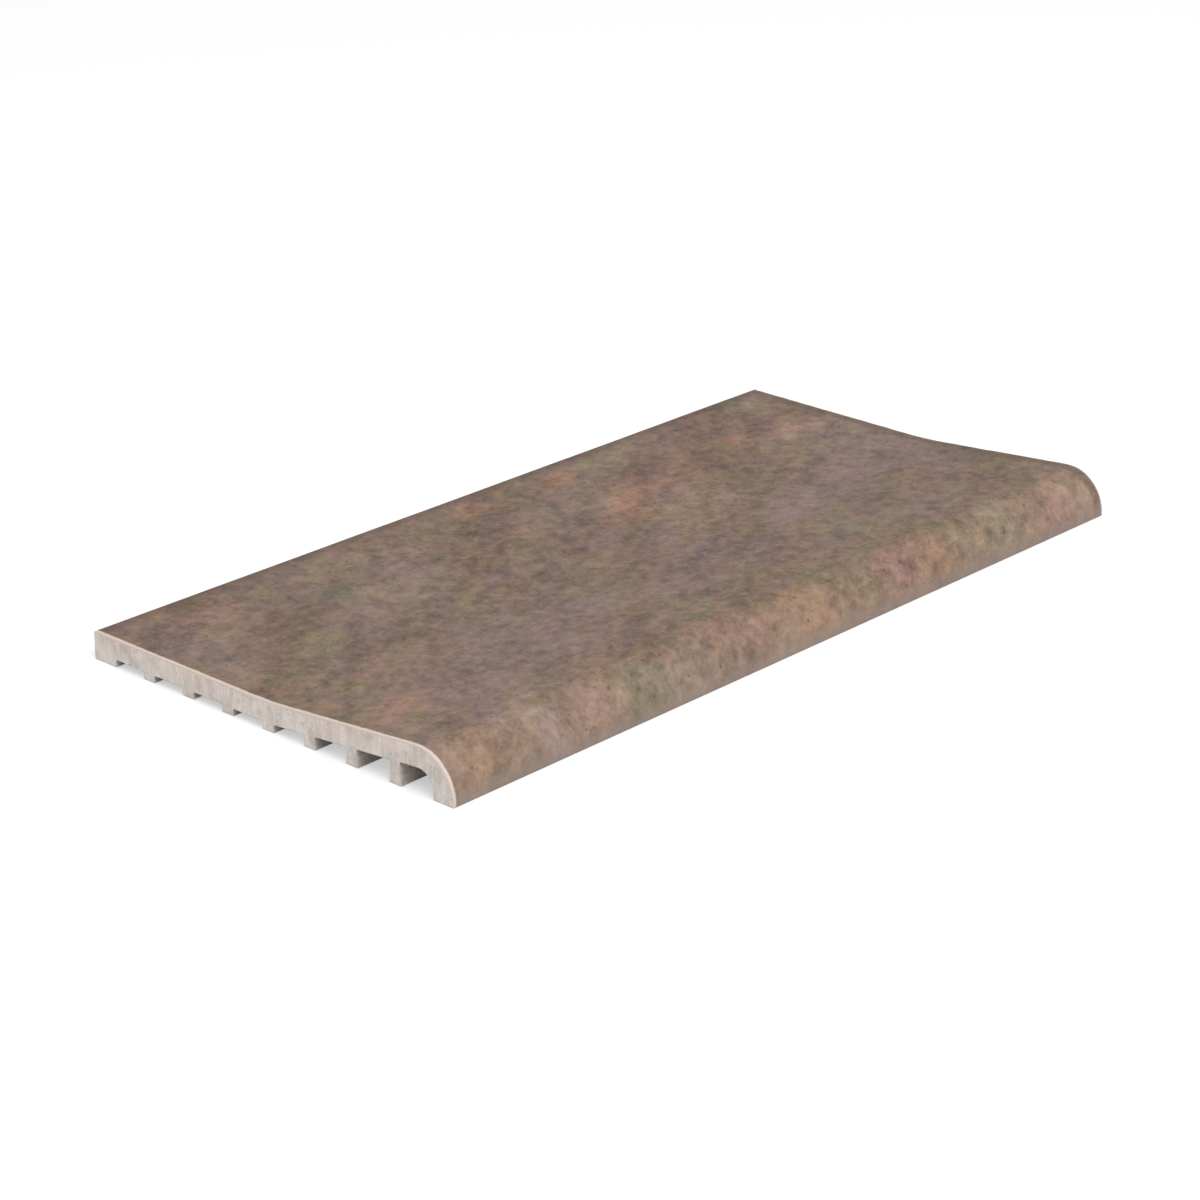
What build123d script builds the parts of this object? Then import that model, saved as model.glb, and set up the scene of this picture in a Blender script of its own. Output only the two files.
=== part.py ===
# Pool coping tile: one extruded stoneware piece, cut to length by a wire.
# The face is a flat deck that ramps up to a raised bullnose, which keeps splashed water
# off the deck and gives swimmers an edge to hold. The back has dovetail ribs that key
# into the mortar bed, and the tile lies on them, on its back foot and on the nosing.
# X runs along the nosing, +Y points away from the pool, and Z = 0 is the bed.
from build123d import *
import os
from math import asin, atan2, hypot, radians, tan

# Outer sizes, in millimetres
length = 330.0  # along the nosing, between the two wire cuts
width = 165.0  # from the back edge to the front of the nosing
deck_height = 10.0  # flat deck above the bed
nose_height = 16.0  # crest of the nosing above the bed

# Section of the face and of the clay wall behind it
deck_depth = 84.0  # from the back edge to the knee where the deck meets the ramp
knee_radius = 200.0  # hollow curve that eases the deck into the ramp
nose_foot = 1.0  # upright part of the nosing below its quarter round
wall = 7.5  # clay between the face and the grooves
lip = 8.6  # foot of the nosing, from its front to the last groove
hollow_radius = 6.12  # inside corner between the ramp and the lip
back_arris = 1.0  # rounding of the upper back edge

# Ribs on the back
rib_count = 7
rib_foot = 5.4  # width of a rib where it stands on the bed
rib_lean = 6.0  # degrees that each flank leans in on its way up, for the dovetail
rib_root = 0.8  # fillet between a flank and the wall
back_foot = 10.9  # solid strip along the back edge that stands on the bed
overcut = 1.0  # how far the grooves are drawn below the bed, to cut clean through it

half_width = width / 2
nose_radius = nose_height - nose_foot
gap = (width - back_foot - lip - rib_count * rib_foot) / (rib_count + 1)  # groove, at the bed
rib_pitch = gap + rib_foot


def ramp_rise():
    """Angle of the ramp, in radians, that makes it touch the round of the nosing."""
    run = width - deck_depth - nose_radius
    drop = deck_height - nose_foot
    return asin(nose_radius / hypot(run, drop)) - atan2(drop, run)


def face_line():
    """The face in section, from the back edge over the deck, ramp and nosing to its foot."""
    brow_height = deck_height + (width - deck_depth) * tan(ramp_rise())
    return FilletPolyline(
        (half_width, deck_height),
        (half_width - deck_depth, deck_height),
        (-half_width, brow_height),
        (-half_width, 0),
        radius=[knee_radius, nose_radius],
    )


def ceiling_height(across):
    """Height of the ceiling of the grooves, a wall below the face, at a place across the tile."""
    rise = ramp_rise()
    knee = half_width - deck_depth - wall * tan(rise / 2)
    return deck_height - wall + max(0, knee - across) * tan(rise)


def groove(back, front, front_lean, front_round):
    """One mortar groove in section, between two places on the bed, and cut a little below it."""
    back_lean = tan(radians(rib_lean))
    back_top = ceiling_height(back)
    front_top = ceiling_height(front)
    sides = FilletPolyline(
        (back - overcut * back_lean, -overcut),
        (back + back_top * back_lean, back_top),
        (front - front_top * front_lean, front_top),
        (front + overcut * front_lean, -overcut),
        radius=[rib_root, front_round],
    )
    return make_face([sides, Line(sides @ 1, sides @ 0)])


def tile_section():
    """Whole section of the tile: X is across it, towards the back, and Y is up."""
    face = face_line()
    body = make_face(face + Polyline(face @ 1, (half_width, 0), face @ 0))
    grooves = []
    for index in range(rib_count):
        back = half_width - back_foot - index * rib_pitch
        grooves.append(groove(back, back - gap, tan(radians(rib_lean)), rib_root))
    lip_inside = lip - half_width
    hollow = min(hollow_radius, 0.85 * ceiling_height(lip_inside))  # has to end above the bed
    grooves.append(groove(lip_inside + gap, lip_inside, 0, hollow))  # the lip stays upright
    profile = body - grooves
    back_corner = profile.vertices().group_by(Axis.X)[-1].sort_by(Axis.Y)[-1]
    return fillet(back_corner, back_arris)


coping_tile = extrude(Plane.YZ * tile_section(), amount=length / 2, both=True)

os.makedirs("parts", exist_ok=True)
export_step(coping_tile, "parts/coping_tile.step")
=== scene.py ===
import math

import bpy
import numpy as np
from mathutils import Matrix, Vector
from mathutils import noise as fieldNoise
from mathutils.geometry import delaunay_2d_cdt


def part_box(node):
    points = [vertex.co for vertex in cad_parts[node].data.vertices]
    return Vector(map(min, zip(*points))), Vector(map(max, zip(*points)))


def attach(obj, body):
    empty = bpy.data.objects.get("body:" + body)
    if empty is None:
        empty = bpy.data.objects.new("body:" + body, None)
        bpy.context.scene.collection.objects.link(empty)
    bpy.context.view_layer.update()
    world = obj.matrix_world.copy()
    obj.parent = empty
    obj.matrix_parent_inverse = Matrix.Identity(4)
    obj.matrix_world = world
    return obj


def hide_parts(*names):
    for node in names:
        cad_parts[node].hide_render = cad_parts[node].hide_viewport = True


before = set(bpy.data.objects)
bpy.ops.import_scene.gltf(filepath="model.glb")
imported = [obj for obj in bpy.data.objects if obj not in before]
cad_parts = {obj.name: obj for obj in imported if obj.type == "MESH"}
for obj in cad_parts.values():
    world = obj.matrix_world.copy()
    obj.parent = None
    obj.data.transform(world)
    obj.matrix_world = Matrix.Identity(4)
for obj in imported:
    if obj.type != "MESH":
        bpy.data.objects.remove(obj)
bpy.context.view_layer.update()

# Pool coping tile: a glazed stoneware face over bare clay ends and a ribbed back
# Metres throughout: X runs along the nosing, +Y points to the back edge, Z = 0 is the bed
mm = 0.001
cadLow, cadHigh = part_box("coping_tile")
tileLength = cadHigh.x - cadLow.x
tileWidth = cadHigh.y - cadLow.y
noseHeight = cadHigh.z - cadLow.z
halfLength = tileLength / 2
halfWidth = tileWidth / 2
print("frame loaded, tile", round(tileLength / mm), "x", round(tileWidth / mm), "mm")

# Section of the tile, as the die leaves it
sectionForm = {
    "deckHeight": 10.0 * mm,  # flat deck above the bed
    "deckDepth": 84.0 * mm,  # back edge to the knee of the ramp
    "kneeRadius": 200.0 * mm,
    "noseFoot": 1.0 * mm,  # upright part below the quarter round
    "wall": 7.5 * mm,  # clay between the face and the grooves
    "lip": 8.6 * mm,  # foot of the nosing
    "hollow": 6.12 * mm,  # radius inside the nosing
    "backArris": 1.0 * mm,
    "ribCount": 7,
    "ribFoot": 5.4 * mm,
    "ribLean": math.radians(6.0),  # dovetail of each flank
    "ribRoot": 0.8 * mm,
    "backFoot": 10.9 * mm,  # solid strip along the back edge
    "footRound": 0.35 * mm,  # soft corners of the feet
    "faceStep": 1.3 * mm,
    "backStep": 4.0 * mm,
    "arcStep": math.radians(22.0),
}


def rampSlope(form):  # of the ramp that leaves the knee and touches the round of the nosing
    noseRadius = noseHeight - form["noseFoot"]
    run = tileWidth - form["deckDepth"] - noseRadius
    drop = form["deckHeight"] - form["noseFoot"]
    return math.tan(math.asin(noseRadius / math.hypot(run, drop)) - math.atan2(drop, run))


def sectionCorners(form):
    slope = rampSlope(form)
    noseRadius = noseHeight - form["noseFoot"]
    knee = halfWidth - form["deckDepth"]
    browHeight = form["deckHeight"] + (tileWidth - form["deckDepth"]) * slope
    wall = form["wall"]
    ceilingKnee = knee - wall * math.tan(math.atan(slope) / 2)

    def ceiling(y):  # a wall below the face
        return form["deckHeight"] - wall + max(0.0, ceilingKnee - y) * slope

    faceStep, backStep, footRound = form["faceStep"], form["backStep"], form["footRound"]
    ribCount = form["ribCount"]
    gap = (tileWidth - form["backFoot"] - form["lip"] - ribCount * form["ribFoot"]) / (ribCount + 1)
    corners = [  # y, z, radius, step of the run that follows, whether that run is glazed
        (halfWidth, 0.0, footRound, backStep / 3, False),
        (halfWidth, form["deckHeight"], form["backArris"], faceStep, True),
        (knee, form["deckHeight"], form["kneeRadius"], faceStep, True),
        (-halfWidth, browHeight, noseRadius, faceStep, True),
        (-halfWidth, 0.0, footRound, backStep, False),
    ]
    lean = math.tan(form["ribLean"])
    for index in reversed(range(ribCount + 1)):  # grooves, from the nosing to the back
        back = halfWidth - form["backFoot"] - index * (gap + form["ribFoot"])
        front = back - gap
        isLast = index == ribCount
        frontLean = 0.0 if isLast else lean
        frontRound = form["hollow"] if isLast else form["ribRoot"]
        corners.append((front, 0.0, footRound, backStep, False))
        corners.append((front - ceiling(front) * frontLean, ceiling(front), frontRound, backStep, False))
        corners.append((back + ceiling(back) * lean, ceiling(back), form["ribRoot"], backStep, False))
        corners.append((back, 0.0, footRound, backStep, False))
    return corners


def roundedOutline(corners, arcStep):  # closed outline with an arc at each corner
    points, glazed = [], []
    count = len(corners)
    arcs = []
    for index, (y, z, radius, step, _) in enumerate(corners):
        before, after = corners[index - 1], corners[(index + 1) % count]
        here = np.array((y, z))
        wayIn = here - before[:2]
        wayOut = np.array(after[:2]) - here
        wayIn = wayIn / np.linalg.norm(wayIn)
        wayOut = wayOut / np.linalg.norm(wayOut)
        turn = math.atan2(wayIn[0] * wayOut[1] - wayIn[1] * wayOut[0], wayIn @ wayOut)
        start = here - wayIn * radius * math.tan(abs(turn) / 2)
        side = math.copysign(1.0, turn)
        centre = start + side * radius * np.array((-wayIn[1], wayIn[0]))
        pieces = max(2, math.ceil(abs(turn) / arcStep), math.ceil(radius * abs(turn) / step))
        pieces += pieces % 2
        spoke = start - centre
        arc = []
        for part in range(pieces + 1):
            angle = turn * part / pieces
            arc.append(centre + (spoke[0] * math.cos(angle) - spoke[1] * math.sin(angle),
                                 spoke[0] * math.sin(angle) + spoke[1] * math.cos(angle)))
        arcs.append(arc)
    for index, arc in enumerate(arcs):
        runBefore, runAfter = corners[index - 1][4], corners[index][4]
        middle = len(arc) // 2
        for part, point in enumerate(arc):
            points.append(point)
            glazed.append(runBefore if part < middle else runAfter)
        target = arcs[(index + 1) % count][0]
        run = np.linalg.norm(target - arc[-1])
        cuts = math.ceil(run / corners[index][3])
        for cut in range(1, cuts):
            points.append(arc[-1] + (target - arc[-1]) * cut / cuts)
            glazed.append(runAfter)
    return np.array(points), np.array(glazed)


# Fired surface of the tile: how far the real clay departs from the die's clean form
reliefForm = {
    "lengthStep": 2.0 * mm,
    "endSteps": [0.0, 0.05, 0.14, 0.28, 0.48, 0.75, 1.2, 2.0, 3.2],  # millimetres in from a cut end
    "faceArris": 0.65 * mm,  # softened edge between the glaze and a cut end
    "clayArris": 0.22 * mm,
    "arrisGrowth": 0.3,  # of the face arris, with the distance from the foot or the back edge
    "chipSize": 5.0 * mm,
    "chipFrom": 0.68,  # wear past which an arris chips
    "chipGain": 1.6,
    "waveDepth": 0.14 * mm,  # slow waves that drying leaves in the face
    "waveSize": 46.0 * mm,
    "rippleDepth": 0.05 * mm,
    "rippleSize": 11.0 * mm,
    "capSpacing": 0.9 * mm,  # points inside a cut end
    "capJitter": 0.3,  # shares of that spacing
    "capMargin": 0.6,
    "dragDepth": 0.16 * mm,  # furrows left by the cutting wire
    "dragSpacing": 1.7 * mm,
    "dragLength": 14.0 * mm,
}
finishSlots = {"glaze": 0, "cut": 1, "skin": 2}  # order of the tile's materials


def outwardNormals(outline):
    tangent = np.roll(outline, -1, axis=0) - np.roll(outline, 1, axis=0)
    normal = np.stack([tangent[:, 1], -tangent[:, 0]], axis=1)
    return normal / np.linalg.norm(normal, axis=1)[:, None]


def lengthStations(relief):
    ends = np.array(relief["endSteps"]) * mm
    inner = halfLength - ends[-1]
    count = math.ceil(2 * inner / relief["lengthStep"])
    middle = np.linspace(-inner, inner, count + 1)[1:-1]
    return np.concatenate([ends - halfLength, middle, halfLength - ends[::-1]])


def unitNoise(x, y, z, size):  # smooth noise from 0 to 1 in cells of the given size
    return 0.5 + 0.5 * fieldNoise.noise((x / size, y / size, z / size))


def sweptPoints(outline, glazed, relief):
    normals = outwardNormals(outline)
    stations = lengthStations(relief)
    places = np.zeros((len(stations), len(outline), 3))
    for row, x in enumerate(stations):
        fromEnd = halfLength - abs(x)
        for column, (y, z) in enumerate(outline):
            sink = 0.0
            if glazed[column]:
                sink += relief["waveDepth"] * unitNoise(x, y, z, relief["waveSize"])
                sink += relief["rippleDepth"] * unitNoise(x + 1.0, y, z, relief["rippleSize"])
                wear = unitNoise(math.copysign(1.0, x), y, z, relief["chipSize"])
                chip = relief["chipGain"] * max(0.0, wear - relief["chipFrom"])
                arris = relief["faceArris"] * (0.5 + wear + chip)
                fromRim = min(z, halfWidth - y)  # tight again at the foot of the nosing and at the back
                arris = min(arris, relief["clayArris"] + relief["arrisGrowth"] * fromRim)
            else:
                arris = relief["clayArris"]
            if fromEnd < arris:
                sink += arris - math.sqrt(arris**2 - (arris - fromEnd) ** 2)
            normalY, normalZ = normals[column]
            places[row, column] = (x, y - normalY * sink, max(0.0, z - normalZ * sink))
    return places


def insideOutline(points, outline):
    y, z = points[:, 0][:, None], points[:, 1][:, None]
    startY, startZ = outline[:, 0], outline[:, 1]
    endY, endZ = np.roll(startY, -1), np.roll(startZ, -1)
    spans = (startZ > z) != (endZ > z)
    rise = np.where(endZ == startZ, 1.0, endZ - startZ)
    crossing = startY + (z - startZ) * (endY - startY) / rise
    return (spans & (y < crossing)).sum(axis=1) % 2 == 1


def capMesh(loop, relief, seed):  # triangles of one cut end, with points inside it for the furrows
    spacing = relief["capSpacing"]
    draw = np.random.default_rng(seed)
    ys = np.arange(-halfWidth, halfWidth, spacing)
    zs = np.arange(0.0, noseHeight, spacing)
    grid = np.stack(np.meshgrid(ys, zs), axis=-1).reshape(-1, 2)
    grid = grid + draw.uniform(-relief["capJitter"], relief["capJitter"], grid.shape) * spacing
    grid = grid[insideOutline(grid, loop)]
    gap = np.linalg.norm(grid[:, None] - loop[None], axis=2).min(axis=1)
    grid = grid[gap > spacing * relief["capMargin"]]
    flat = [Vector(point) for point in np.concatenate([loop, grid])]
    ring = list(range(len(loop)))
    found = delaunay_2d_cdt(flat, [], [ring], 1, 1e-9)
    owner = [origin[0] for origin in found[3]]
    triangles = [[owner[corner] for corner in face] for face in found[2]]
    return grid, triangles


def buildTile(form, relief):
    outline, glazed = roundedOutline(sectionCorners(form), form["arcStep"])
    places = sweptPoints(outline, glazed, relief)
    rows, columns = places.shape[:2]
    points = [tuple(place) for place in places.reshape(-1, 3)]
    faces, finishes = [], []
    for row in range(rows - 1):
        for column in range(columns):
            following = (column + 1) % columns
            faces.append((row * columns + column, row * columns + following,
                          (row + 1) * columns + following, (row + 1) * columns + column))
            finishes.append(finishSlots["glaze" if glazed[column] else "skin"])
    for end, row in ((-1, 0), (1, rows - 1)):
        loop = places[row][:, 1:]
        inner, triangles = capMesh(loop, relief, seed=7 + end)
        first = len(points)
        for y, z in inner:
            furrow = unitNoise(y * relief["dragLength"] / relief["dragSpacing"], z, end, relief["dragLength"])
            grain = unitNoise(y, z, end, relief["dragSpacing"])
            depth = relief["dragDepth"] * (0.25 + 0.5 * furrow + 0.25 * grain)
            points.append((end * (halfLength - depth), y, z))
        for triangle in triangles:
            corners = [row * columns + corner if corner < columns else first + corner - columns
                       for corner in triangle]
            faces.append(corners if end > 0 else corners[::-1])
            finishes.append(finishSlots["cut"])
    mesh = bpy.data.meshes.new("coping_tile_fired")
    mesh.from_pydata(points, [], faces)
    mesh.polygons.foreach_set("material_index", finishes)
    mesh.polygons.foreach_set("use_smooth", [True] * len(faces))
    mesh.update()
    tile = bpy.data.objects.new("coping_tile_fired", mesh)
    bpy.context.scene.collection.objects.link(tile)
    print("tile mesh:", len(points), "points,", len(faces), "faces")
    return tile


# Node helpers: a value may be a socket, which is linked, or a constant, which is set
def put(tree, kind, inputs=None, **settings):
    node = tree.nodes.new(kind)
    for name, value in settings.items():
        setattr(node, name, value)
    for name, value in (inputs or {}).items():
        setInput(tree, node.inputs[name], value)
    return node


def setInput(tree, socket, value):
    if isinstance(value, bpy.types.NodeSocket):
        tree.links.new(value, socket)
    elif socket.type == "RGBA" and len(value) == 3:
        socket.default_value = (*value, 1.0)
    else:
        socket.default_value = value


def calc(tree, operation, first, second=0.0, third=0.0):
    return put(tree, "ShaderNodeMath", {0: first, 1: second, 2: third}, operation=operation).outputs[0]


def spread(tree, value, low, high, toLow=0.0, toHigh=1.0):  # eased ramp between two limits
    names = {"Value": value, "From Min": low, "From Max": high, "To Min": toLow, "To Max": toHigh}
    return put(tree, "ShaderNodeMapRange", names, interpolation_type="SMOOTHSTEP").outputs[0]


def tint(tree, amount, under, over):
    return put(tree, "ShaderNodeMix", {0: amount, 6: under, 7: over}, data_type="RGBA").outputs[2]


def lighten(tree, colour, factor):
    return put(tree, "ShaderNodeVectorMath", {0: colour, "Scale": factor}, operation="SCALE").outputs[0]


def mottle(tree, position, size, detail=4.0, rough=0.55, warp=0.0):
    return put(tree, "ShaderNodeTexNoise", {
        "Vector": position,
        "Scale": 1.0 / size,
        "Detail": detail,
        "Roughness": rough,
        "Distortion": warp,
    }).outputs["Fac"]


def shifted(tree, position, offset):
    return put(tree, "ShaderNodeVectorMath", {0: position, 1: offset}, operation="ADD").outputs[0]


def startGroup(name, inputs, outputs):
    group = bpy.data.node_groups.new(name, "ShaderNodeTree")
    for label, kind, value in inputs:
        group.interface.new_socket(name=label, in_out="INPUT", socket_type=kind).default_value = value
    for label in outputs:
        group.interface.new_socket(name=label, in_out="OUTPUT", socket_type="NodeSocketFloat")
    return group, group.nodes.new("NodeGroupInput").outputs, group.nodes.new("NodeGroupOutput").inputs


def useGroup(tree, group, inputs):
    node = put(tree, "ShaderNodeGroup", None, node_tree=group)
    for name, value in inputs.items():
        setInput(tree, node.inputs[name], value)
    return node.outputs


vectorKind, floatKind = "NodeSocketVector", "NodeSocketFloat"


def buildSpecks():  # separate grains of uneven size: iron spots, cream flecks, grog, pinholes
    group, given, result = startGroup(
        "scatteredSpecks",
        [("Position", vectorKind, (0, 0, 0)), ("Spacing", floatKind, 4 * mm),
         ("Reach", floatKind, 0.2), ("Share", floatKind, 0.5)],
        ["Mask"],
    )
    density = calc(group, "DIVIDE", 1.0, given["Spacing"])
    cells = put(group, "ShaderNodeTexVoronoi", {"Vector": given["Position"], "Scale": density})
    chance = put(group, "ShaderNodeSeparateColor", {"Color": cells.outputs["Color"]}).outputs
    fray = mottle(group, given["Position"], 1.1 * mm, 2.0)
    distance = calc(group, "MULTIPLY_ADD", fray, 0.22, cells.outputs["Distance"])
    size = calc(group, "MULTIPLY", given["Reach"], calc(group, "ADD", chance["Green"], 0.45))
    edge = calc(group, "ADD", size, 0.11)
    body = spread(group, distance, calc(group, "ADD", edge, 0.06), edge)
    present = calc(group, "LESS_THAN", chance["Red"], given["Share"])
    setInput(group, result["Mask"], calc(group, "MULTIPLY", body, present))
    return group


def buildSoftCloud():  # one soft patch with a frayed rim
    group, given, result = startGroup(
        "softCloud",
        [("Position", vectorKind, (0, 0, 0)), ("Centre", vectorKind, (0, 0, 0)),
         ("Reach", vectorKind, (0.02, 0.02, 0.02)), ("Turn", floatKind, 0.0)],
        ["Mask"],
    )
    local = put(group, "ShaderNodeVectorMath", {0: given["Position"], 1: given["Centre"]},
                operation="SUBTRACT").outputs[0]
    turned = put(group, "ShaderNodeVectorRotate", {"Vector": local, "Angle": given["Turn"]},
                 rotation_type="Z_AXIS").outputs[0]
    scaled = put(group, "ShaderNodeVectorMath", {0: turned, 1: given["Reach"]}, operation="DIVIDE").outputs[0]
    distance = put(group, "ShaderNodeVectorMath", {0: scaled}, operation="LENGTH").outputs["Value"]
    fray = mottle(group, given["Position"], 13 * mm, 5.0, 0.62)
    ragged = calc(group, "MULTIPLY_ADD", calc(group, "SUBTRACT", fray, 0.5), 2.4, distance)
    setInput(group, result["Mask"], spread(group, ragged, 1.15, 0.1))
    return group


def buildEndFade():  # how near a point is to a wire-cut end
    group, given, result = startGroup(
        "cutEndFade",
        [("Position", vectorKind, (0, 0, 0)), ("Width", floatKind, 1 * mm), ("Ragged", floatKind, 0.5)],
        ["Mask"],
    )
    along = put(group, "ShaderNodeSeparateXYZ", {0: given["Position"]}).outputs["X"]
    gap = calc(group, "SUBTRACT", halfLength, calc(group, "ABSOLUTE", along))
    share = calc(group, "DIVIDE", gap, given["Width"])
    fray = calc(group, "SUBTRACT", mottle(group, given["Position"], 3.5 * mm, 5.0, 0.65), 0.5)
    ragged = calc(group, "MULTIPLY_ADD", fray, calc(group, "MULTIPLY", given["Ragged"], 4.0), share)
    setInput(group, result["Mask"], spread(group, ragged, 1.25, 0.75))
    return group


def buildDrag():  # long furrows: the die's along the back, the wire's down the ends
    group, given, result = startGroup(
        "dragFurrows",
        [("Position", vectorKind, (0, 0, 0)), ("Stretch", vectorKind, (1, 1, 1))],
        ["Tone", "Height"],
    )
    scaled = put(group, "ShaderNodeVectorMath", {0: given["Position"], 1: given["Stretch"]},
                 operation="MULTIPLY").outputs[0]
    coarse = mottle(group, scaled, 1.0, 3.0, 0.6)
    fine = mottle(group, scaled, 0.28, 3.0, 0.6)
    setInput(group, result["Tone"], coarse)
    setInput(group, result["Height"], calc(group, "MULTIPLY_ADD", fine, 0.45, coarse))
    return group


def buildSand():  # grit of fired stoneware in two sizes
    group, given, result = startGroup(
        "sandyGrain",
        [("Position", vectorKind, (0, 0, 0)), ("Size", floatKind, 0.5 * mm)],
        ["Tone", "Height"],
    )
    density = calc(group, "DIVIDE", 1.0, given["Size"])
    coarse = put(group, "ShaderNodeTexNoise", {"Vector": given["Position"], "Scale": density, "Detail": 3.0})
    finer = calc(group, "MULTIPLY", density, 2.7)
    fine = put(group, "ShaderNodeTexNoise", {"Vector": given["Position"], "Scale": finer, "Detail": 2.0})
    coarse, fine = coarse.outputs["Fac"], fine.outputs["Fac"]
    setInput(group, result["Tone"], coarse)
    setInput(group, result["Height"], calc(group, "MULTIPLY_ADD", fine, 0.5, coarse))
    return group


specks = buildSpecks()
softCloud = buildSoftCloud()
endFade = buildEndFade()
drag = buildDrag()
sand = buildSand()
print("shared node groups built")


def startMaterial(name):
    material = bpy.data.materials.new(name)
    material.use_nodes = True
    tree = material.node_tree
    tree.nodes.clear()
    shader = put(tree, "ShaderNodeBsdfPrincipled")
    output = put(tree, "ShaderNodeOutputMaterial")
    tree.links.new(shader.outputs[0], output.inputs["Surface"])
    position = put(tree, "ShaderNodeTexCoord").outputs["Object"]
    return material, tree, shader, position


# Face glaze: satin brown that clouds to mauve grey and olive, with rust where it runs thin
glazeLook = {
    "brown": (0.202, 0.129, 0.089),
    "drab": (0.186, 0.128, 0.097),
    "mauve": (0.185, 0.120, 0.108),
    "olive": (0.176, 0.141, 0.083),
    "sage": (0.158, 0.140, 0.097),
    "slate": (0.172, 0.126, 0.118),
    "tan": (0.300, 0.207, 0.148),
    "umber": (0.085, 0.056, 0.041),
    "rust": (0.310, 0.150, 0.090),
    "rose": (0.305, 0.178, 0.150),
    "cream": (0.340, 0.258, 0.185),
    "stone": (0.262, 0.205, 0.160),
    "moss": (0.240, 0.207, 0.140),
    "lilac": (0.290, 0.212, 0.207),
    "ember": (0.360, 0.195, 0.115),
    "paleFoot": (0.305, 0.246, 0.212),
    "broken": (0.730, 0.610, 0.540),
    "iron": (0.055, 0.038, 0.030),
    "hueSize": 26.0 * mm,
    "hueStrength": 0.8,
    "tones": [  # size in millimetres of each layer of mottling, and how strongly it darkens and lightens
        (80, 0.70),
        (28, 0.85),
        (10, 0.85),
        (4, 1.20),
        (1.3, 0.80),
    ],
    "combTurn": math.radians(32),  # the broad mottling is drawn out on a slant
    "combStretch": 1.9,
    "combLeast": 8,  # layers finer than this are even in all directions
    "nosingFrom": 16.5 * mm,  # in from the front, where the glaze starts to turn tan and where it is most tan
    "nosingFull": 5.5 * mm,
    "nosingCalm": -0.15,  # change in the mottling there
    "noseCrestTan": 0.55,  # how far the glaze turns tan there, at the crest and at the foot
    "noseFootTan": 0.80,
    "ironStrength": 0.5,
    "ironSpots": {"Spacing": 4.0 * mm, "Reach": 0.10, "Share": 0.45},
    "fleckStrength": 0.3,
    "flecks": {"Spacing": 7.0 * mm, "Reach": 0.06, "Share": 0.35},
    "pinholes": {"Spacing": 4.2 * mm, "Reach": 0.07, "Share": 0.35},
    "gritSize": 0.55 * mm,
    "peelSize": 3.2 * mm,
    "bumpStrength": 0.55,
    "bumpDepth": 0.16 * mm,
    "rimWidth": 5.0 * mm,
    "rimStrength": 0.10,  # at the end where the wire came in
    "rimGain": 0.30,  # added at the other end
    "backRimWidth": 8.0 * mm,
    "backRimStrength": 0.5,
    "footHeight": 8.0 * mm,
    "footStrength": 0.6,
    "wornWidth": 1.1 * mm,
    "wornStrength": 0.85,
    "wornGain": -0.55,  # added at the other end
    "roughness": 0.62,
    "specular": 0.20,
}

# Places where the glaze turns colour: along, across, reach both ways in millimetres, turn, colour, strength
glazeClouds = [
    (40, 34, 27, 12, 0.6, "rust", 0.55),
    (38, 68, 15, 6, 0.5, "rust", 0.60),
    (-4, 69, 9, 6, 0.2, "rust", 0.50),
    (75, 40, 34, 16, 0.2, "rust", 0.14),
    (118, 50, 16, 10, 0.0, "rust", 0.30),
    (140, 41, 19, 11, -0.6, "rose", 0.55),
    (-127, 65, 17, 10, 0.2, "rose", 0.45),
    (-58, 51, 17, 8, 0.5, "rose", 0.40),
    (-90, 49, 12, 9, 0.0, "sage", 0.60),
    (16, 49, 11, 8, 0.0, "sage", 0.50),
    (-152, 46, 14, 28, 0.0, "slate", 0.50),
    (-112, 46, 28, 16, 0.3, "umber", 0.14),
    (-72, -31, 40, 18, 0.5, "mauve", 0.80),
    (11, -25, 42, 19, 0.5, "mauve", 0.70),
    (103, -10, 46, 22, 0.5, "mauve", 0.80),
    (95, -28, 36, 24, 0.3, "umber", 0.16),
    (150, -12, 18, 36, 0.0, "slate", 0.65),
    (58, -47, 19, 9, 0.4, "sage", 0.55),
    (-146, -42, 22, 12, 0.3, "rust", 0.30),
    (-144, -13, 14, 11, 0.0, "olive", 0.75),
    (-128, 18, 26, 12, 0.6, "olive", 0.70),
    (86, 13, 30, 8, 0.6, "olive", 0.50),
    (52, 12, 38, 22, 0.2, "tan", 0.34),
    (-150, -79, 15, 11, 0.0, "ember", 0.22),
    (-136, -79, 15, 11, 0.0, "umber", 0.14),
    (-119, -78, 11, 10, 0.0, "lilac", 0.40),
    (-102, -79, 13, 11, 0.0, "rose", 0.35),
    (-76, -79, 17, 11, 0.0, "moss", 0.70),
    (-54, -78, 14, 11, 0.0, "stone", 0.45),
    (-28, -79, 19, 12, 0.0, "rose", 0.50),
    (6, -78, 16, 11, 0.0, "ember", 0.26),
    (54, -79, 19, 12, 0.0, "rose", 0.65),
    (72, -80, 15, 11, 0.0, "ember", 0.30),
    (92, -78, 17, 11, 0.0, "cream", 0.30),
    (111, -77, 11, 11, 0.0, "moss", 0.50),
    (144, -79, 21, 12, 0.0, "rose", 0.45),
    (156, -80, 14, 12, 0.0, "cream", 0.30),
]


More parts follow.
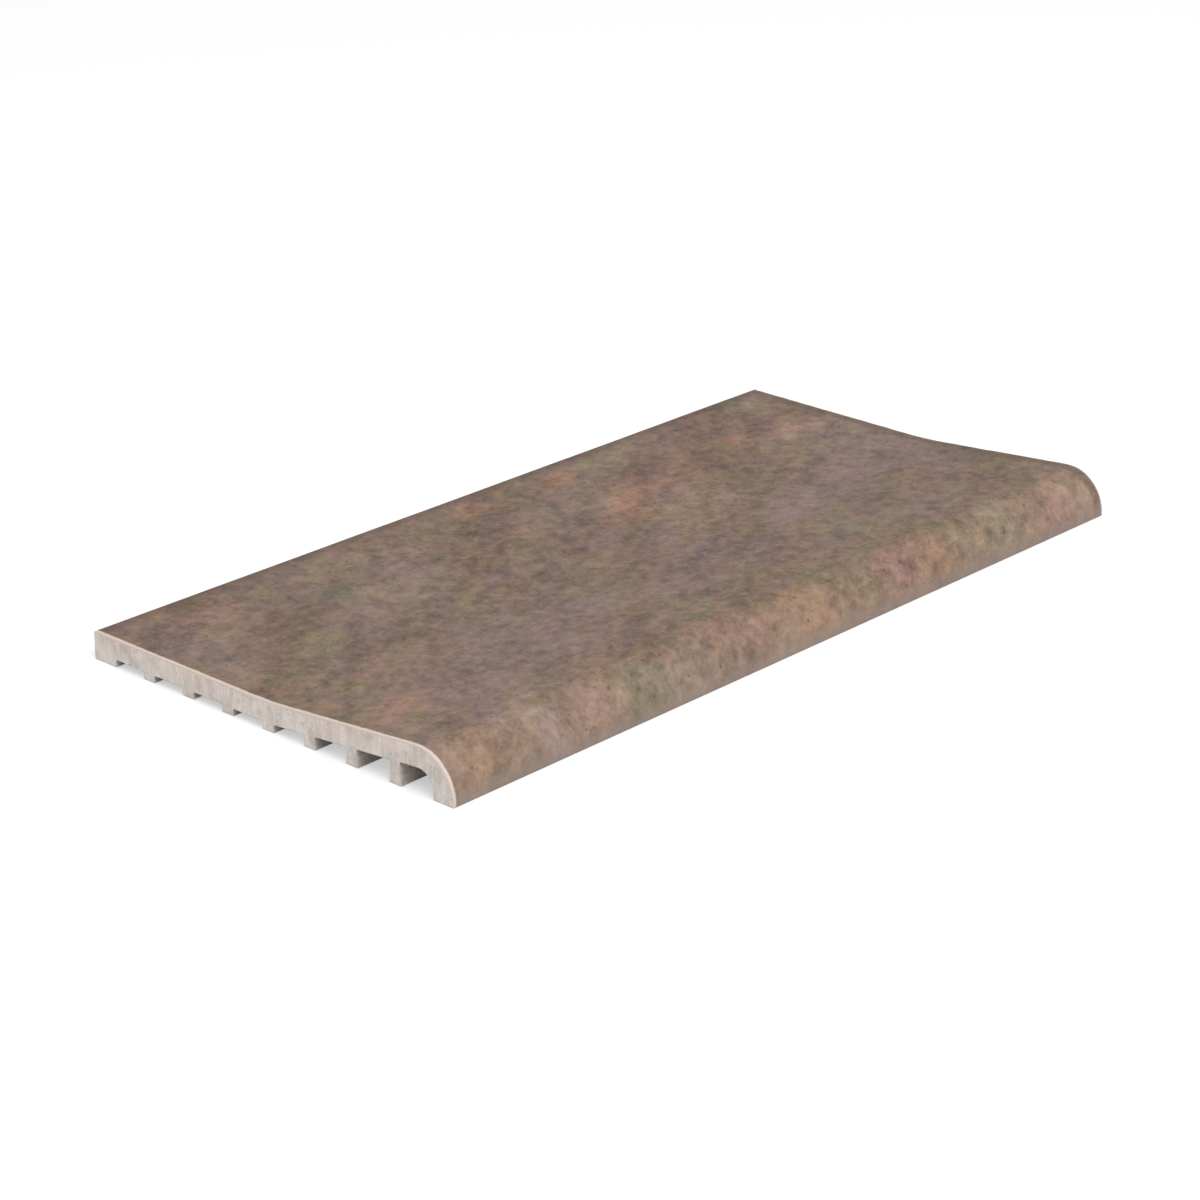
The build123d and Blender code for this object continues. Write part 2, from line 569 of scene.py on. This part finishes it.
def glazeMaterial(look, clouds):
    material, tree, shader, position = startMaterial("stoneware_glaze")
    across = put(tree, "ShaderNodeSeparateXYZ", {0: position}).outputs
    turned = put(tree, "ShaderNodeVectorRotate", {"Vector": position, "Angle": -look["combTurn"]},
                 rotation_type="Z_AXIS").outputs[0]
    combed = put(tree, "ShaderNodeVectorMath", {0: turned, 1: (1.0, look["combStretch"], 1.0)},
                 operation="MULTIPLY").outputs[0]
    tone, fields = 1.0, []
    for index, (size, depth) in enumerate(look["tones"]):
        ground = combed if size > look["combLeast"] else position
        field = mottle(tree, shifted(tree, ground, (0.31 * index, 0.12, 0.2)), size * mm, 2.0, 0.5, 0.3)
        tone = calc(tree, "MULTIPLY_ADD", calc(tree, "SUBTRACT", field, 0.5), depth, tone)
        fields.append(field)
    hue = mottle(tree, shifted(tree, combed, (0.0, 0.4, 0.7)), look["hueSize"], 4.0, 0.6, 0.5)

    colour = tint(tree, spread(tree, fields[0], 0.40, 0.62), look["brown"], look["drab"])
    colour = tint(tree, spread(tree, hue, 0.51, 0.67, 0.0, look["hueStrength"]), colour, look["mauve"])
    colour = tint(tree, spread(tree, hue, 0.49, 0.33, 0.0, look["hueStrength"]), colour, look["olive"])

    # On the nosing the glaze turns lighter and tan, most at its foot
    nosing = spread(tree, across["Y"], look["nosingFrom"] - halfWidth, look["nosingFull"] - halfWidth)
    noseTan = spread(tree, across["Z"], noseHeight, 2 * mm, look["noseCrestTan"], look["noseFootTan"])
    colour = tint(tree, calc(tree, "MULTIPLY", nosing, noseTan), colour, look["tan"])
    for along, over, reachAlong, reachOver, turn, name, strength in clouds:
        patch = useGroup(tree, softCloud, {
            "Position": position,
            "Centre": (along * mm, over * mm, sectionForm["deckHeight"]),
            "Reach": (reachAlong * mm, reachOver * mm, 40 * mm),
            "Turn": -turn,
        })["Mask"]
        colour = tint(tree, calc(tree, "MULTIPLY", patch, strength), colour, look[name])

    # Mottling, then spots of iron and pale flecks
    calm = calc(tree, "MULTIPLY_ADD", nosing, look["nosingCalm"], 1.0)
    tone = calc(tree, "MULTIPLY_ADD", calc(tree, "SUBTRACT", tone, 1.0), calm, 1.0)
    colour = lighten(tree, colour, tone)
    iron = useGroup(tree, specks, {"Position": position, **look["ironSpots"]})["Mask"]
    colour = tint(tree, calc(tree, "MULTIPLY", iron, look["ironStrength"]), colour, look["iron"])
    aside = shifted(tree, position, (0.2, 0.3, 0.1))
    fleck = useGroup(tree, specks, {"Position": aside, **look["flecks"]})["Mask"]
    colour = tint(tree, calc(tree, "MULTIPLY", fleck, look["fleckStrength"]), colour, look["cream"])

    # Rims: the glaze darkens towards each edge, and breaks pale on the arris, most where the wire came in
    leaving = spread(tree, across["X"], -0.5 * halfLength, 0.5 * halfLength)
    rim = useGroup(tree, endFade, {"Position": position, "Width": look["rimWidth"], "Ragged": 0.3})["Mask"]
    rimShare = calc(tree, "MULTIPLY_ADD", leaving, look["rimGain"], look["rimStrength"])
    rim = calc(tree, "MULTIPLY", rim, rimShare)
    backRim = spread(tree, across["Y"], halfWidth - look["backRimWidth"], halfWidth - 1 * mm)
    backRim = calc(tree, "MULTIPLY", backRim, look["backRimStrength"])
    colour = tint(tree, calc(tree, "MAXIMUM", rim, backRim), colour, look["umber"])
    # The glaze turns paler and greyer towards the foot of the nosing
    foot = spread(tree, across["Z"], look["footHeight"], 0.3 * mm, 0.0, look["footStrength"])
    colour = tint(tree, foot, colour, look["paleFoot"])
    worn = useGroup(tree, endFade, {"Position": position, "Width": look["wornWidth"], "Ragged": 0.22})["Mask"]
    wornShare = calc(tree, "MULTIPLY_ADD", leaving, look["wornGain"], look["wornStrength"])
    worn = calc(tree, "MULTIPLY", worn, wornShare)
    colour = tint(tree, worn, colour, look["broken"])

    # Fine relief of the fired glaze
    grit = useGroup(tree, sand, {"Position": position, "Size": look["gritSize"]})
    aside = shifted(tree, position, (0.5, 0.1, 0.2))
    pinholes = useGroup(tree, specks, {"Position": aside, **look["pinholes"]})["Mask"]
    rough = calc(tree, "MULTIPLY_ADD", calc(tree, "SUBTRACT", fields[2], 0.5), 0.35, look["roughness"])
    rough = calc(tree, "MULTIPLY_ADD", worn, 0.2, rough)
    peel = mottle(tree, position, look["peelSize"], 3.0, 0.5)
    height = calc(tree, "MULTIPLY_ADD", grit["Height"], 0.35, peel)
    height = calc(tree, "MULTIPLY_ADD", pinholes, -0.8, height)
    bump = put(tree, "ShaderNodeBump", {"Strength": look["bumpStrength"], "Distance": look["bumpDepth"],
                                        "Height": height})
    setInput(tree, shader.inputs["Base Color"], colour)
    setInput(tree, shader.inputs["Roughness"], rough)
    setInput(tree, shader.inputs["Normal"], bump.outputs[0])
    shader.inputs["Specular IOR Level"].default_value = look["specular"]
    return material


# Bare clay: the wire-cut ends are pale, pinkest under the glaze, and the die's skin on the back and in the
# grooves is greyer and darker, partly its own colour and partly painted shade for the inside of the grooves
cutLook = {
    "top": (0.800, 0.660, 0.585),
    "heart": (0.700, 0.645, 0.610),
    "pale": (0.880, 0.800, 0.750),
    "shade": (0.520, 0.445, 0.400),
    "grog": (0.300, 0.190, 0.135),
    "stretch": (1 / (6 * mm), 1 / (1.1 * mm), 1 / (11 * mm)),  # furrows run down the cut
    "furrow": 0.9,  # depth of the furrows against the grit
    "patchy": 0.8,  # strength of the pale and dark patches
    "roughness": 0.86,
}
# Darker than the cut ends: the die's greyer skin, with painted shade for the groove flanks
skinLookWithGrooveShade = {
    "top": (0.610, 0.515, 0.450),
    "heart": (0.480, 0.440, 0.405),
    "pale": (0.680, 0.610, 0.550),
    "shade": (0.370, 0.310, 0.265),
    "grog": (0.240, 0.150, 0.105),
    "stretch": (1 / (90 * mm), 1 / (1.6 * mm), 1 / (1.6 * mm)),  # furrows run along the die
    "furrow": 1.3,
    "patchy": 0.4,
    "roughness": 0.88,
}
clayGrain = {  # shared by both
    "gritSize": 0.6 * mm,
    "stainSize": 24.0 * mm,
    "patchSize": 7.0 * mm,
    "stainStrength": 0.30,
    "lineStrength": 0.45,
    "gritStrength": 0.30,
    "grogStrength": 0.5,
    "grog": {"Spacing": 2.6 * mm, "Reach": 0.11, "Share": 0.4},
    "sandStrength": 0.6,
    "sand": {"Spacing": 2.2 * mm, "Reach": 0.10, "Share": 0.35},
    # the darkening of the pits is painted shade
    "pitShadeStrength": 0.45,
    "pits": {"Spacing": 3.1 * mm, "Reach": 0.12, "Share": 0.5},
    "rubbedWidth": 1.2 * mm,
    "rubbedStrength": 0.25,
    "bumpStrength": 0.7,
    "bumpDepth": 0.22 * mm,
    "specular": 0.25,
}


def clayMaterial(name, look, grain):
    material, tree, shader, position = startMaterial(name)
    axes = put(tree, "ShaderNodeSeparateXYZ", {0: position}).outputs
    lines = useGroup(tree, drag, {"Position": position, "Stretch": look["stretch"]})
    grit = useGroup(tree, sand, {"Position": position, "Size": grain["gritSize"]})
    stain = mottle(tree, shifted(tree, position, (0.1, 0.6, 0.0)), grain["stainSize"], 5.0, 0.6, 0.5)
    patch = mottle(tree, shifted(tree, position, (0.4, 0.1, 0.3)), grain["patchSize"], 3.0, 0.55, 0.4)

    # Depth below the face, which rises along the ramp
    knee = halfWidth - sectionForm["deckDepth"]
    pastKnee = calc(tree, "MAXIMUM", calc(tree, "SUBTRACT", knee, axes["Y"]), 0.0)
    depth = calc(tree, "MULTIPLY_ADD", pastKnee, rampSlope(sectionForm), sectionForm["deckHeight"])
    depth = calc(tree, "SUBTRACT", depth, axes["Z"])
    depth = calc(tree, "MULTIPLY_ADD", calc(tree, "SUBTRACT", stain, 0.5), 7 * mm, depth)
    colour = tint(tree, spread(tree, depth, 1.5 * mm, sectionForm["wall"]), look["top"], look["heart"])
    layers = [
        (stain, grain["stainStrength"]),
        (patch, look["patchy"]),
        (lines["Tone"], grain["lineStrength"]),
        (grit["Tone"], grain["gritStrength"]),
    ]
    for field, share in layers:
        colour = tint(tree, spread(tree, field, 0.50, 0.64, 0.0, share), colour, look["pale"])
        colour = tint(tree, spread(tree, field, 0.50, 0.34, 0.0, share), colour, look["shade"])
    grog = useGroup(tree, specks, {"Position": position, **grain["grog"]})["Mask"]
    colour = tint(tree, calc(tree, "MULTIPLY", grog, grain["grogStrength"]), colour, look["grog"])
    aside = shifted(tree, position, (0.3, 0.2, 0.1))
    sandGrain = useGroup(tree, specks, {"Position": aside, **grain["sand"]})["Mask"]
    colour = tint(tree, calc(tree, "MULTIPLY", sandGrain, grain["sandStrength"]), colour, look["pale"])
    # Pits: sunk by the bump below, and darkened with painted shade inside them
    aside = shifted(tree, position, (0.6, 0.4, 0.5))
    pits = useGroup(tree, specks, {"Position": aside, **grain["pits"]})["Mask"]
    colour = tint(tree, calc(tree, "MULTIPLY", pits, grain["pitShadeStrength"]), colour, look["shade"])
    rubbed = useGroup(tree, endFade, {"Position": position, "Width": grain["rubbedWidth"],
                                      "Ragged": 0.3})["Mask"]
    colour = tint(tree, calc(tree, "MULTIPLY", rubbed, grain["rubbedStrength"]), colour, look["pale"])

    # Furrows, grit and pits in the clay
    relief = calc(tree, "MULTIPLY_ADD", lines["Height"], look["furrow"], grit["Height"])
    relief = calc(tree, "MULTIPLY_ADD", pits, -1.4, relief)
    bump = put(tree, "ShaderNodeBump", {"Strength": grain["bumpStrength"], "Distance": grain["bumpDepth"],
                                        "Height": relief})
    rough = calc(tree, "MULTIPLY_ADD", calc(tree, "SUBTRACT", grit["Tone"], 0.5), 0.2, look["roughness"])
    setInput(tree, shader.inputs["Base Color"], colour)
    setInput(tree, shader.inputs["Roughness"], rough)
    setInput(tree, shader.inputs["Normal"], bump.outputs[0])
    shader.inputs["Specular IOR Level"].default_value = grain["specular"]
    return material


tile = buildTile(sectionForm, reliefForm)
tile.data.materials.append(glazeMaterial(glazeLook, glazeClouds))
tile.data.materials.append(clayMaterial("wire_cut_clay", cutLook, clayGrain))
tile.data.materials.append(clayMaterial("extruded_clay", skinLookWithGrooveShade, clayGrain))
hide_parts("coping_tile")
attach(tile, "root")
print("tile dressed in glaze and clay")

# Studio: white floor, even sky, one broad lamp in front of the nosing
studioLook = {
    "floorSize": 8.0,
    "floorDrop": 0.15 * mm,
    "floorColour": (0.60, 0.60, 0.60),
    "floorLift": 0.48,  # added for the rays that see the floor, to make it white
    "skyStrength": 0.70,
    "lampAzimuth": -22.0,
    "lampElevation": 50.0,
    "lampDistance": 1.6,
    "lampSize": 1.1,
    "lampPower": 15.0,
}


def seenRays(tree):  # camera, glossy and transmission rays
    rays = put(tree, "ShaderNodeLightPath").outputs
    seen = calc(tree, "MAXIMUM", rays["Is Camera Ray"], rays["Is Glossy Ray"])
    return calc(tree, "MAXIMUM", seen, rays["Is Transmission Ray"])


def buildFloor(look):
    half = look["floorSize"] / 2
    mesh = bpy.data.meshes.new("studio_floor")
    drop = -look["floorDrop"]
    mesh.from_pydata([(-half, -half, drop), (half, -half, drop), (half, half, drop), (-half, half, drop)],
                     [], [(0, 1, 2, 3)])
    floor = bpy.data.objects.new("studio_floor", mesh)
    bpy.context.scene.collection.objects.link(floor)
    material, tree, shader, _ = startMaterial("studio_white")
    shader.inputs["Base Color"].default_value = (*look["floorColour"], 1.0)
    shader.inputs["Roughness"].default_value = 0.9
    shader.inputs["Specular IOR Level"].default_value = 0.0
    shader.inputs["Emission Color"].default_value = (1.0, 1.0, 1.0, 1.0)
    lift = calc(tree, "MULTIPLY", seenRays(tree), look["floorLift"])
    setInput(tree, shader.inputs["Emission Strength"], lift)
    mesh.materials.append(material)


def buildSky(look):
    world = bpy.data.worlds.new("studio_sky")
    world.use_nodes = True
    tree = world.node_tree
    tree.nodes.clear()
    strength = spread(tree, seenRays(tree), 0.0, 1.0, look["skyStrength"], 1.0)
    sky = put(tree, "ShaderNodeBackground", {"Color": (1.0, 1.0, 1.0), "Strength": strength})
    output = put(tree, "ShaderNodeOutputWorld")
    tree.links.new(sky.outputs[0], output.inputs["Surface"])
    bpy.context.scene.world = world


def viewDirection(azimuth, elevation):  # from the tile to a viewer; azimuth 0 faces the nosing
    turn, rise = math.radians(azimuth), math.radians(elevation)
    return Vector((math.sin(turn) * math.cos(rise), -math.cos(turn) * math.cos(rise), math.sin(rise)))


def buildLamp(look):
    lamp = bpy.data.lights.new("studio_softbox", "AREA")
    lamp.shape = "SQUARE"
    lamp.size = look["lampSize"]
    lamp.energy = look["lampPower"]
    towards = viewDirection(look["lampAzimuth"], look["lampElevation"])
    holder = bpy.data.objects.new("studio_softbox", lamp)
    holder.location = towards * look["lampDistance"]
    holder.rotation_euler = (-towards).to_track_quat("-Z", "Y").to_euler()
    bpy.context.scene.collection.objects.link(holder)


# Camera: stands off the near cut end and looks along the nosing
cameraView = {
    "azimuth": -47.21,
    "elevation": 22.37,
    "distance": 1.176,
    "lens": 102.9,
    "asideAim": -8.45 * mm,  # how far the aim is off the middle of the bed
    "upAim": -5.75 * mm,
}


def buildCamera(look):
    back = viewDirection(look["azimuth"], look["elevation"])
    right = Vector((0.0, 0.0, 1.0)).cross(back).normalized()
    up = back.cross(right)
    data = bpy.data.cameras.new("photo_view")
    data.lens = look["lens"]
    data.sensor_width = 36.0
    camera = bpy.data.objects.new("photo_view", data)
    place = back * look["distance"] + right * look["asideAim"] + up * look["upAim"]
    turn = Matrix((right, up, back)).transposed()
    camera.matrix_world = Matrix.Translation(place) @ turn.to_4x4()
    bpy.context.scene.collection.objects.link(camera)
    bpy.context.scene.camera = camera


buildFloor(studioLook)
buildSky(studioLook)
buildLamp(studioLook)
buildCamera(cameraView)
bpy.context.scene.view_settings.view_transform = "Standard"
print("studio and camera set")
